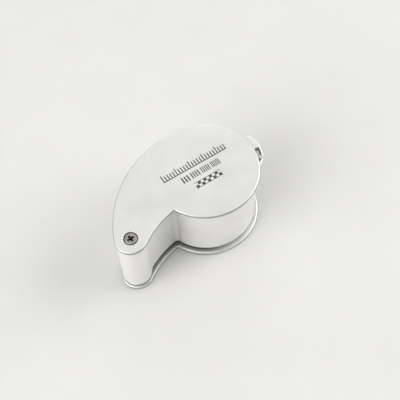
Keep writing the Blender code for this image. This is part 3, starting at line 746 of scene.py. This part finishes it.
def graduation_bars():
    bars = [bar(SCALE_AT, 0.0, TICK_COUNT - 1.0 + TICK_W, 0.0, BASE_LINE)]
    for k in range(TICK_COUNT):
        bars.append(bar(SCALE_AT, k, k + TICK_W, BASE_LINE, 2.85 if k % 5 == 0 else 2.15))
    x = 0.0
    for width, count in LINE_GROUPS:
        for k in range(count):
            bars.append(bar(GROUPS_AT, x, x + width, 0.15, 2.45))
            x += width * 2
        x += 0.35
    for k in range(9):
        low, high = (BLOCK_LOW, BLOCK_MID) if k % 2 == 0 else (BLOCK_MID, BLOCK_HIGH)
        bars.append(bar(BLOCKS_AT, k * BLOCK_W, k * BLOCK_W + BLOCK_W, low, high))
    bars.append(bar(BLOCKS_AT, -0.12, 9.57, BLOCK_HIGH, 2.28))
    bars.append(bar(BLOCKS_AT, -0.12, 9.57, 0.02, BLOCK_LOW))
    return bars


bm = bmesh.new()
for quad in graduation_bars():
    low, high = ([bm.verts.new((p.x * MM, p.y * MM, z * MM)) for p in quad]
                 for z in (INK_Z0, INK_Z0 + INK_T))
    bm.faces.new(low[::-1])
    bm.faces.new(high)
    for i in range(4):
        j = (i + 1) % 4
        bm.faces.new((low[i], low[j], high[j], high[i]))
dress(new_object("plate_graduations", bm), INK, "cover")


# ---------------------------------------------------------------- spine
def spine_path(inset, tip_clear, sweep):
    """One face of the wall, from the disc end to tip_clear from the pivot."""
    back_r = BACK_R - inset
    away = LENS - BACK
    start = math.radians(SPINE_END_DEG + sweep)
    points = arc(LENS, DISC_R - inset, start, bearing(LENS, LENS + away), 60)[:-1]
    end = circle_cross(BACK, back_r, PIVOT, tip_clear, Vector((-1, 6)))
    return points + swept(BACK, back_r, BACK + away, end, 60)


def spine_shape(inset):
    sweep = math.degrees(inset / DISC_R)
    outer = spine_path(SPINE_INSET + inset, 6.3 + inset, sweep)
    return outer + spine_path(SPINE_INSET + SPINE_T - inset, 5.35 + inset, sweep)[::-1]


spine = slab("spine_fine", spine_shape, SPINE_Z0, SPINE_Z1, 0.18, 0.18, 3)
for spot, turn in TABS:
    join(spine, block("tab", (2.4, 0.5, SPINE_Z1 - SPINE_Z0 + 1.1),
                      (spot.x, spot.y, (SPINE_Z0 + SPINE_Z1) / 2), turn))
spine.data.shade_smooth()
spine.data.set_sharp_from_angle(angle=math.radians(40))
spine_normals = spine.modifiers.new("normals", 'WEIGHTED_NORMAL')
spine_normals.keep_sharp = True
spine_normals.weight = 60
dress(spine, SPINE, "cover")
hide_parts("spine_wall")     # the frame's name differs from the mesh's here

# ---------------------------------------------------------------- pivot
# turned profiles below: radius, height, corner rounding
post = turned("pivot_post_fine", filleted([
    (POST_R, 24.6, 0.1), (POST_R, 0.55, 0), (3.0, 0.55, 0.1), (3.0, 0.0, 0.2), (0.5, 0.0, 0),
    (0.0, 0.35, 0), (0.0, 8.0, 0), (POST_BORE, 8.7, 0), (POST_BORE, 24.6, 0.08)], 4))
finish(post, STEEL, "cover", angle=30)

screw = turned("pivot_screw_fine", filleted([
    (0.0, HEAD_Z, 0), (HEAD_R, HEAD_Z, 0.17), (HEAD_R, HEAD_SEAT_Z + 0.1, 0.05),
    (SHANK_R, HEAD_SEAT_Z + 0.1, 0.05), (SHANK_R, 12.4, 0), (0.75, 12.0, 0), (0.0, 12.0, 0)]))


def cross_recess(at, z, arm, wide, deep, turn):
    """Tools for a cross recess: two bars that narrow and slope towards the bottom."""
    tools = []
    for i in range(2):
        bar_turn = turn + math.pi / 2 * i
        # share of full size, height
        rings = ((0.84, z - deep), (1.0, z - deep * 0.12), (1.02, z + 1.0))
        tools.append(loft("recess", [(turned_rect((arm * share, wide * share), at, bar_turn), level)
                                     for share, level in rings]))
    return tools


cut(screw, *cross_recess((0, 0), HEAD_Z, arm=2.3, wide=0.78, deep=0.62, turn=math.radians(-9)))
cut(screw, turned("cone", [(0, HEAD_Z + 0.6), (0.6, HEAD_Z + 0.6), (0.58, HEAD_Z - 0.1),
                           (0.3, HEAD_Z - 1.5), (0, HEAD_Z - 1.7)], steps=24))
finish(screw, SCREW, "cover")

washer = turned("friction_washer_fine", filleted([
    (4.4, 1.85, 0.12), (4.4, 1.45, 0.12), (BUSH_BORE, 1.45, 0.05), (BUSH_BORE, 1.85, 0.05)], 4))
finish(washer, STEEL, "cover")

bush = turned("pivot_bush_lower_fine", filleted([
    (BUSH_R, 11.0, 0.1), (BUSH_R, 2.45, 0), (4.4, 2.45, 0.12), (4.4, 2.0, 0.12),
    (BUSH_BORE, 2.0, 0.1), (BUSH_BORE, 11.0, 0.1)], 4))
finish(bush, NYLON, "lens_unit")
bush = turned("pivot_bush_upper_fine", filleted([
    (3.7, 24.55, 0.12), (3.7, 24.1, 0.1), (BUSH_R, 24.1, 0), (BUSH_R, 14.0, 0.1),
    (BUSH_BORE, 14.0, 0.1), (BUSH_BORE, 24.55, 0.1)], 4))
finish(bush, NYLON, "lens_unit")

# ---------------------------------------------------------------- lens housing
# thumb lug, a low ledge whose rim stands just outside the plates: bearing in
# degrees and radius from the lens axis
LUG = ((-0.6, 15.6), (-0.6, 17.6), (-2.2, 19.1), (-4.4, 19.85), (-8.5, 20.15), (-13.5, 20.3),
       (-18.0, 20.25), (-22.0, 20.0), (-26.0, 19.85), (-29.0, 19.7), (-31.5, 19.5),
       (-33.5, 19.15), (-35.5, 18.65), (-37.5, 18.05), (-39.5, 17.4), (-41.5, 16.5),
       (-43.0, 15.6))
# pocket in the lug for the switch, and the strip that fills it: same columns
POCKET = ((-19.5, 17.45), (-19.5, 19.65), (-22.5, 19.45), (-26.0, 19.35), (-29.0, 19.2),
          (-31.5, 19.0), (-33.5, 18.65), (-35.5, 18.15), (-37.0, 17.45), (-33.0, 17.45),
          (-28.5, 17.45), (-24.0, 17.45))
STRIP = ((-20.4, 17.75), (-20.4, 19.32), (-22.5, 19.15), (-26.0, 19.05), (-29.0, 18.9),
         (-31.3, 18.68), (-33.0, 18.35), (-34.6, 17.9), (-34.8, 17.75), (-32.0, 17.75),
         (-28.0, 17.75), (-24.0, 17.75))


def housing_shape(inset):
    return comma(HOUSING_INSET + inset, HUB_R - inset, HOUSING_FILLET + inset,
                 tip_fillet=NECK_FILLET + inset)


def cavity_shape(inset):
    return comma(HOUSING_INSET + WALL + inset, 3.2 - inset, 0.8 + inset)


def ledge_shape(gap):
    """Outline function of the lid's ledge, or of the lid itself inside a gap."""
    return lambda inset: comma(HOUSING_INSET + LIP + gap + inset, HUB_R - LIP - gap - inset,
                               LEDGE_FILLET + gap + inset, tip_fillet=NECK_FILLET + gap + inset)


def polar_prism(name, stations, radius, z0, z1):
    """Prism over clockwise stations (bearing, radius) with rounded corners."""
    return prism(name, rounded([polar(deg, r) for deg, r in stations][::-1], radius, 3), z0, z1)


housing = slab("lens_housing_fine", housing_shape, HOUSING_Z0, HOUSING_Z1, 0.35, 0.25, 5)
lug_outline = ([polar(-0.6, LUG_ROOT_R)] + spline([polar(deg, r) for deg, r in LUG])
               + [polar(deg, LUG_ROOT_R) for deg in (-41.0, -34, -25, -16, -8)])
join(housing, bevelled(prism("lug", lug_outline[::-1], LUG_Z0, HOUSING_Z1), 0.4, 4))

# the cavity leaves the hub and the boss of the lid screw standing
cavity = slab("cavity", cavity_shape, HOUSING_Z0 + FLOOR, LID_Z0 - 0.1, 0.25, 0.0, 3)
cut(cavity, rod("keep_hub", HUB_R - 0.05, 0, ABOVE_ALL, sides=96),
    rod("keep_boss", 1.6, 0, ABOVE_ALL, LID_SCREW, 40))
ledge = slab("ledge", ledge_shape(0.0), LID_Z0 - 0.15, HOUSING_Z1 + 1)
through_floor = HOUSING_Z0 + FLOOR + 1
cut(housing, cavity)
cut(housing, ledge, rod("hub_bore", HUB_BORE, 0, ABOVE_ALL))
cut(housing, rod("lens_opening", LENS_OPENING_R, 0, through_floor, LENS, 144),
    *[rod("led_hole", LED_R + 0.2, 0, through_floor, spot, 40) for spot in LEDS])
cut(housing, rod("cap_hole", CAP_R + 0.2, 0, through_floor, BATTERY, 80))
cut(housing, block("lug_entry", (13.0, 2.6, FLOOR + 3), (*BATTERY, HOUSING_Z0),
                   math.radians(57.0)))
cut(housing, rod("screw_hole", 0.6, 16.0, ABOVE_ALL, LID_SCREW, 24))
cut(housing, polar_prism("pocket", POCKET, 0.25, 22.0, 25.3))
finish(housing, HOUSING, "lens_unit")


def counterbore(wide_r, wide_z, bore_r, bore_z, at, steps):
    """Tool through the lid: wide above wide_z, narrow below bore_z."""
    return turned("bore", [(0, ABOVE_ALL), (wide_r, ABOVE_ALL), (wide_r, wide_z),
                           (bore_r, bore_z), (bore_r, 20), (0, 20)], at, steps)


lid = slab("housing_lid_fine", ledge_shape(LID_GAP), LID_Z0, LID_Z1, 0.0, 0.2, 4)
hub_seat_z, screw_seat_z = HOUSING_Z1 - 0.75, HOUSING_Z1 - 0.7
cut(lid, counterbore(BARREL_R + 0.5, LID_Z1, BARREL_R + 0.2, HOUSING_Z1 - 0.35, LENS, 144))
cut(lid, counterbore(3.95, hub_seat_z, HUB_BORE, hub_seat_z, (0, 0), 72))
cut(lid, counterbore(1.75, screw_seat_z, 0.95, screw_seat_z, LID_SCREW, 48))
finish(lid, LID, "lens_unit")

lid_screw_z = HOUSING_Z1 - 0.1
lid_screw = turned("lid_screw_fine", filleted([
    (0.0, lid_screw_z, 0), (1.2, lid_screw_z, 0.25), (1.5, HOUSING_Z1 - 0.3, 0.12),
    (1.5, HOUSING_Z1 - 0.55, 0.08), (0.75, HOUSING_Z1 - 0.55, 0), (0.75, 23.6, 0),
    (0.45, 23.4, 0), (0.45, 17.6, 0), (0.0, 17.2, 0)], 4), LID_SCREW, 48)
cut(lid_screw, *cross_recess(LID_SCREW, lid_screw_z, arm=1.6, wide=0.4, deep=0.35,
                             turn=math.radians(20)))
finish(lid_screw, STEEL, "lens_unit")


# ---------------------------------------------------------------- optics
def lens_profile(r, edge_z0, edge_z1, sag_low, sag_high):
    """Two spherical caps on a cylindrical rim with small ground bevels."""
    steps, bevel = 24, 0.12

    def cap(sag, sign, base_z):
        sphere = (r * r + sag * sag) / (2 * sag)
        points = []
        for i in range(steps + 1):
            x = r * i / steps
            rise = math.sqrt(max(0.0, sphere * sphere - x ** 2)) - (sphere - sag)
            points.append((x, base_z + sign * rise))
        points[-1] = (r - bevel, points[-1][1])
        return points
    return (cap(sag_high, 1, edge_z1) + [(r, edge_z1 - bevel), (r, edge_z0 + bevel)]
            + cap(sag_low, -1, edge_z0)[::-1])


barrel = turned("lens_barrel_fine", filleted([
    (BARREL_R, 24.5, 0.2), (BARREL_R, 4.0, 0.2), (11.8, 4.0, 0.15), (11.8, 5.0, 0),
    (SEAT_BORE, 5.0, 0), (SEAT_BORE, 24.5, 0.15)], 4), LENS, 144)
finish(barrel, BARREL, "lens_unit")

# lower and upper height of the rim, sag of the lower and upper face
for name, lens_sizes in (("lens_lower", (5.2, 7.0, 1.5, 3.2)),
                         ("lens_upper", (19.8, 21.6, 3.2, 1.7))):
    lens = turned(name + "_fine", lens_profile(GLASS_R, *lens_sizes), LENS, 128)
    finish(lens, GLASS, "lens_unit", weighted=False)

# spacer with fine light-stopping grooves in its bore
spacer_profile = [(GLASS_R, 19.2), (GLASS_R, 7.6), (SPACER_BORE, 7.6)]
z = 7.9
while z < 18.8:
    spacer_profile += [(SPACER_BORE, z), (12.15, z + 0.2), (SPACER_BORE, z + 0.4)]
    z += 0.6
spacer_profile += [(SPACER_BORE, 19.2)]
finish(turned("lens_spacer_fine", spacer_profile, LENS), BARREL, "lens_unit",
       angle=25)

ring = turned("retaining_ring_fine", filleted([
    (GLASS_R, 23.4, 0.12), (GLASS_R, 22.1, 0.08), (11.6, 22.1, 0.08), (11.2, 23.4, 0.15)], 4),
    LENS, 144)
cut(ring, block("slots", (30, 1.4, 0.8), (LENS_X, 0, 23.3), math.radians(65)))
finish(ring, RING, "lens_unit")

# ---------------------------------------------------------------- light
sleeve = turned("battery_sleeve_fine", filleted([
    (5.55, 15.6, 0.1), (5.55, 6.3, 0.1), (5.0, 6.3, 0.1), (5.0, 15.6, 0.1)], 3), BATTERY, 72)
finish(sleeve, LID, "lens_unit")

for i in range(CELL_COUNT):
    z0 = CELL_Z0 + i * CELL_PITCH
    z1 = z0 + CELL_T
    cell = turned("button_cell_%d_fine" % (i + 1), filleted([
        (0.0, z1, 0), (3.7, z1, 0.2), (3.7, z1 - 0.3, 0.08), (4.0, z1 - 0.42, 0),
        (4.1, z1 - 0.3, 0.05), (CELL_R, z1 - 0.3, 0.25), (CELL_R, z0 + 0.2, 0.1),
        (CELL_R - 0.2, z0, 0.1), (0.0, z0, 0)], 4), BATTERY, 72)
    finish(cell, CELL, "lens_unit")

z0 = CELL_Z0 + CELL_COUNT * CELL_PITCH
contact = turned("contact_plate_fine", filleted([
    (0.0, z0 + 0.35, 0), (4.2, z0 + 0.35, 0.1), (4.2, z0, 0.1), (0.0, z0, 0)], 3), BATTERY, 64)
finish(contact, CONTACT, "lens_unit")

# plan corners of the holder, x and y
HOLDER = ((15.25, 1.2), (17.4, 0.2), (18.95, 1.9), (18.3, 5.6),
          (21.0, 7.6), (20.6, 10.6), (17.4, 10.4), (16.0, 6.6))
holder = sheet("led_holder_fine", rounded(HOLDER, 0.3, 4), 5.0, 7.2, 0.12, 3)
cut(holder, *[rod("led_hole", LED_R + 0.15, 0, 12, spot, 40) for spot in LEDS])
finish(holder, LID, "lens_unit")

# each LED has its dome downwards
led_dome = [(LED_R * math.cos(math.radians(a)), LED_BASE_Z - LED_DOME * math.sin(math.radians(a)))
            for a in range(0, 91, 9)]
led_base = [(0.0, 8.2), (1.65, 8.2), (1.75, 8.1), (1.75, 7.4), (LED_R, 7.4)]
for i, spot in enumerate(LEDS):
    led = turned("led_%d_fine" % (i + 1), led_base + led_dome, spot, 48)
    finish(led, LED_CLEAR, "lens_unit")

board_outline = [polar(deg, 4.6, Vector(BATTERY)) for deg in range(115, 300, 6)]
board_outline += [Vector(p) for p in ((13.2, 0.6), (18.6, 1.2), (18.4, 5.2), (20.2, 7.0),
                                      (20.0, 10.4), (14.0, 11.4))]
board = sheet("circuit_board_fine", board_outline, 16.2, 17.0, 0.06, 2)
finish(board, BOARD, "lens_unit")
resistor = soft_block("resistor_fine", (2.2, 1.1, 0.6), (15.6, 8.4, 17.5), turn=0.2,
                      corner=0.08, edge=0.08)
finish(resistor, LID, "lens_unit", angle=40)

switch = bevelled(polar_prism("switch_body_fine", STRIP, 0.2, 22.2, 23.5), 0.12)
finish(switch, SWITCH, "lens_unit", angle=40)

# knob: stem in the pocket, arm over the rim, thumb pad with two grip grooves.
# Built lying down: x runs outwards from the lens, y is height, z runs clockwise
KNOB_SIDE = ((-0.75, 23.8), (-0.4, 23.8), (-0.4, 24.9), (1.05, 24.9),
             (1.05, 25.5), (0.05, 25.5), (0.05, 25.2), (-0.75, 25.2))
knob = prism("switch_knob_fine", KNOB_SIDE, -0.45, 0.45)
cut(knob, *[block("grip", (3.0, 0.16, 0.12), (0.5, 25.5, z)) for z in (-0.2, 0.2)])
outward = heading(math.radians(SWITCH_DEG))
along = heading(math.radians(SWITCH_DEG + 90))
rest = polar(SWITCH_DEG, SWITCH_R) + along * SWITCH_REST
knob.data.transform(Matrix(((outward.x, 0.0, -along.x, rest.x * MM),
                            (outward.y, 0.0, -along.y, rest.y * MM),
                            (0.0, 1.0, 0.0, 0.0),
                            (0.0, 0.0, 0.0, 1.0))))
bevelled(knob, 0.07, 3, 40)
finish(knob, KNOB, "knob", angle=40)

# leads rise from the board and run between barrel and housing wall:
# name, height, plan start, first and last bearing, material
wall_mid = (BARREL_R + (DISC_R - HOUSING_INSET - WALL)) / 2
for name, run_z, (x, y), deg0, deg1, material in (
        ("lead_red", 20.6, (18.0, 8.6), 152, 5, RED),
        ("lead_black", 18.6, (18.4, 3.6), 193, 335, BLACK)):
    path = [(x, y, 17.35), (x + 0.1, y + 0.1, run_z - 0.3)]
    for k in range(25):
        path.append((*polar(deg0 + (deg1 - deg0) * k / 24, wall_mid), run_z))
    finish(wire(name + "_fine", path, 0.2), material, "lens_unit",
           angle=40, weighted=False)

# ---------------------------------------------------------------- battery cap
cap = turned("battery_cap_fine", filleted([
    (0.0, 3.75, 0), (CAP_R, 3.75, 0.1), (CAP_R, 2.5, 0.15), (CAP_R - 0.3, 2.2, 0.15),
    (3.9, 2.2, 0), (3.8, 2.28, 0), (3.7, 2.2, 0), (0.0, 2.2, 0)], 4), BATTERY, 120)
join(cap, soft_block("lugs", (12.2, 2.0, 0.7), (*BATTERY, 4.4), turn=math.radians(-3.0),
                     corner=0.2, edge=0.08),
     rod("stem", 3.4, 3.5, 4.75, BATTERY))
cut(cap, soft_block("coin_slot", (7.6, 1.1, 0.8), (*BATTERY, 2.2), turn=math.radians(30.0),
                    corner=0.5, edge=0.0))
finish(cap, CAP, "cap")

# conical spring, two turns that narrow upwards
coil = []
for k in range(81):
    share = k / 80
    a = 4 * math.pi * share
    r = 3.0 - 1.4 * share
    coil.append((BATTERY[0] + r * math.cos(a), BATTERY[1] + r * math.sin(a), 5.1 + 1.15 * share))
finish(wire("battery_spring_fine", coil, 0.16), STEEL, "cap", angle=40, weighted=False)


# ---------------------------------------------------------------- floor and light
def floor_paper():
    """Pale matt paper that fades to nothing far out."""
    m = Mat("floor_paper")
    tone = m.mix(m.ramp(m.noise(scale=60)), (0.57, 0.565, 0.555), (0.585, 0.58, 0.57))
    m.surface(Base_Color=tone, Roughness=0.85, Specular_IOR_Level=0.2)
    m.bump(m.noise(scale=2400, detail=2), strength=0.05, distance=0.00002)
    distance = m.node("ShaderNodeVectorMath", operation='LENGTH')
    m.link(m.coords, distance.inputs[0])
    m.mix_shader(m.ramp(distance.outputs["Value"], lo=0.35, hi=1.6), m.bsdf.outputs[0],
                 m.node("ShaderNodeBsdfTransparent").outputs[0])
    return m.material


def studio_floor():
    """Wide level disc just under the object."""
    x0, z, sides = 0.03, -0.00002, 128
    bm = bmesh.new()
    centre = bm.verts.new((x0, 0, z))
    turns = [2 * math.pi * i / sides for i in range(sides)]
    rows = [[bm.verts.new((x0 + r * math.cos(a), r * math.sin(a), z)) for a in turns]
            for r in (0.02, 0.06, 0.15, 0.4, 1.0, 2.5, 6.0)]
    for i in range(sides):
        bm.faces.new((centre, rows[0][i], rows[0][(i + 1) % sides]))
    for inner, outer in zip(rows, rows[1:]):
        for i in range(sides):
            j = (i + 1) % sides
            bm.faces.new((inner[i], outer[i], outer[j], inner[j]))
    mesh = bpy.data.meshes.new("studio_floor")
    bm.to_mesh(mesh)
    bm.free()
    ob = bpy.data.objects.new("studio_floor", mesh)
    COLL.objects.link(ob)
    mesh.materials.append(floor_paper())


studio_floor()

# disc lamps, all aimed at one point: name, place, diameter, power in watts
LIGHT_AIM = Vector((0.03, 0, 0.01))
for name, spot, size, power in (("key_soft", (-0.25, 0.15, 0.80), 0.60, 1.20),
                                ("right_soft", (0.62, -0.32, 0.38), 0.75, 4.9),
                                ("left_soft", (-0.62, 0.10, 0.38), 0.75, 4.7),
                                ("far_soft", (0.50, 0.52, 0.44), 0.50, 0.90)):
    light = bpy.data.lights.new(name, 'AREA')
    light.shape = 'DISK'
    light.size = size
    light.energy = power
    lamp = bpy.data.objects.new(name, light)
    lamp.location = spot
    lamp.rotation_mode = 'QUATERNION'
    lamp.rotation_quaternion = (Vector(spot) - LIGHT_AIM).to_track_quat('Z', 'Y')
    COLL.objects.link(lamp)

# soft surroundings: paler near the horizon, stronger to either side of the view
world = bpy.data.worlds.new("studio")
world.use_nodes = True
scene.world = world
world_tree = world.node_tree
background = world_tree.nodes["Background"]


def world_node(kind, *inputs, **settings):
    """Node with its inputs linked or set in order; None leaves one alone."""
    node = world_tree.nodes.new(kind)
    for key, value in settings.items():
        setattr(node, key, value)
    for socket, value in zip(node.inputs, inputs):
        if isinstance(value, bpy.types.NodeSocket):
            world_tree.links.new(value, socket)
        elif value is not None:
            socket.default_value = value
    return node


def world_ramp(value, lo, hi, start, end):
    return world_node("ShaderNodeMapRange", value, lo, hi, start, end).outputs[0]


def world_mix(factor, a, b):
    return world_node("ShaderNodeMix", factor, None, a, b).outputs[0]


direction = world_node("ShaderNodeTexCoord").outputs["Generated"]
height = world_node("ShaderNodeSeparateXYZ", direction).outputs[2]
sky = world_node("ShaderNodeValToRGB", height)
for stop, position, colour in zip(sky.color_ramp.elements, (0.0, 0.85),
                                  ((0.95, 0.95, 0.94, 1), (0.48, 0.48, 0.476, 1))):
    stop.position = position
    stop.color = colour
level = world_node("ShaderNodeVectorMath", direction, (1.0, 1.0, 0.0),
                   operation='MULTIPLY').outputs[0]
level = world_node("ShaderNodeVectorMath", level, operation='NORMALIZE').outputs[0]
# how far a direction points along the level axis at -15 degrees, either way
sideways = world_node("ShaderNodeVectorMath", level, (0.9659, -0.2588, 0.0),
                      operation='DOT_PRODUCT').outputs["Value"]
sideways = world_node("ShaderNodeMath", sideways, operation='ABSOLUTE').outputs[0]
strength = world_ramp(sideways, lo=0.0, hi=1.0, start=0.50, end=1.15)
overhead = world_ramp(height, lo=0.3, hi=0.9, start=0.0, end=1.0)
strength = world_mix(overhead, strength, 1.12)
# where the floor ends the camera itself sees a plainer grey
seen = world_node("ShaderNodeLightPath").outputs["Is Camera Ray"]
strength = world_mix(seen, strength, 0.86)
world_tree.links.new(sky.outputs[0], background.inputs[0])
world_tree.links.new(strength, background.inputs[1])

# ---------------------------------------------------------------- camera
ELEVATION, AZIMUTH = math.radians(60.05), math.radians(-44.8)
ROLL, DISTANCE = -0.051, 0.2917
TARGET = Vector((0.0345, 0.00415, 0.0))
backward = Vector((math.sin(AZIMUTH) * math.cos(ELEVATION),
                   -math.cos(AZIMUTH) * math.cos(ELEVATION), math.sin(ELEVATION)))
level_right = Vector((0, 0, 1)).cross(backward).normalized()
level_up = backward.cross(level_right)
right = level_right * math.cos(ROLL) + level_up * math.sin(ROLL)
up = level_up * math.cos(ROLL) - level_right * math.sin(ROLL)
camera_data = bpy.data.cameras.new("camera")
camera_data.lens = 76.02
camera_data.sensor_width = 36.0
camera_data.clip_start = 0.01
camera_data.clip_end = 20.0
camera = bpy.data.objects.new("camera", camera_data)
rotation = Matrix((right, up, backward)).transposed().to_4x4()
camera.matrix_world = Matrix.Translation(TARGET + backward * DISTANCE) @ rotation
COLL.objects.link(camera)
scene.camera = camera

scene.view_settings.view_transform = 'Standard'
scene.view_settings.look = 'None'
scene.view_settings.exposure = 0.0
scene.view_settings.gamma = 1.0
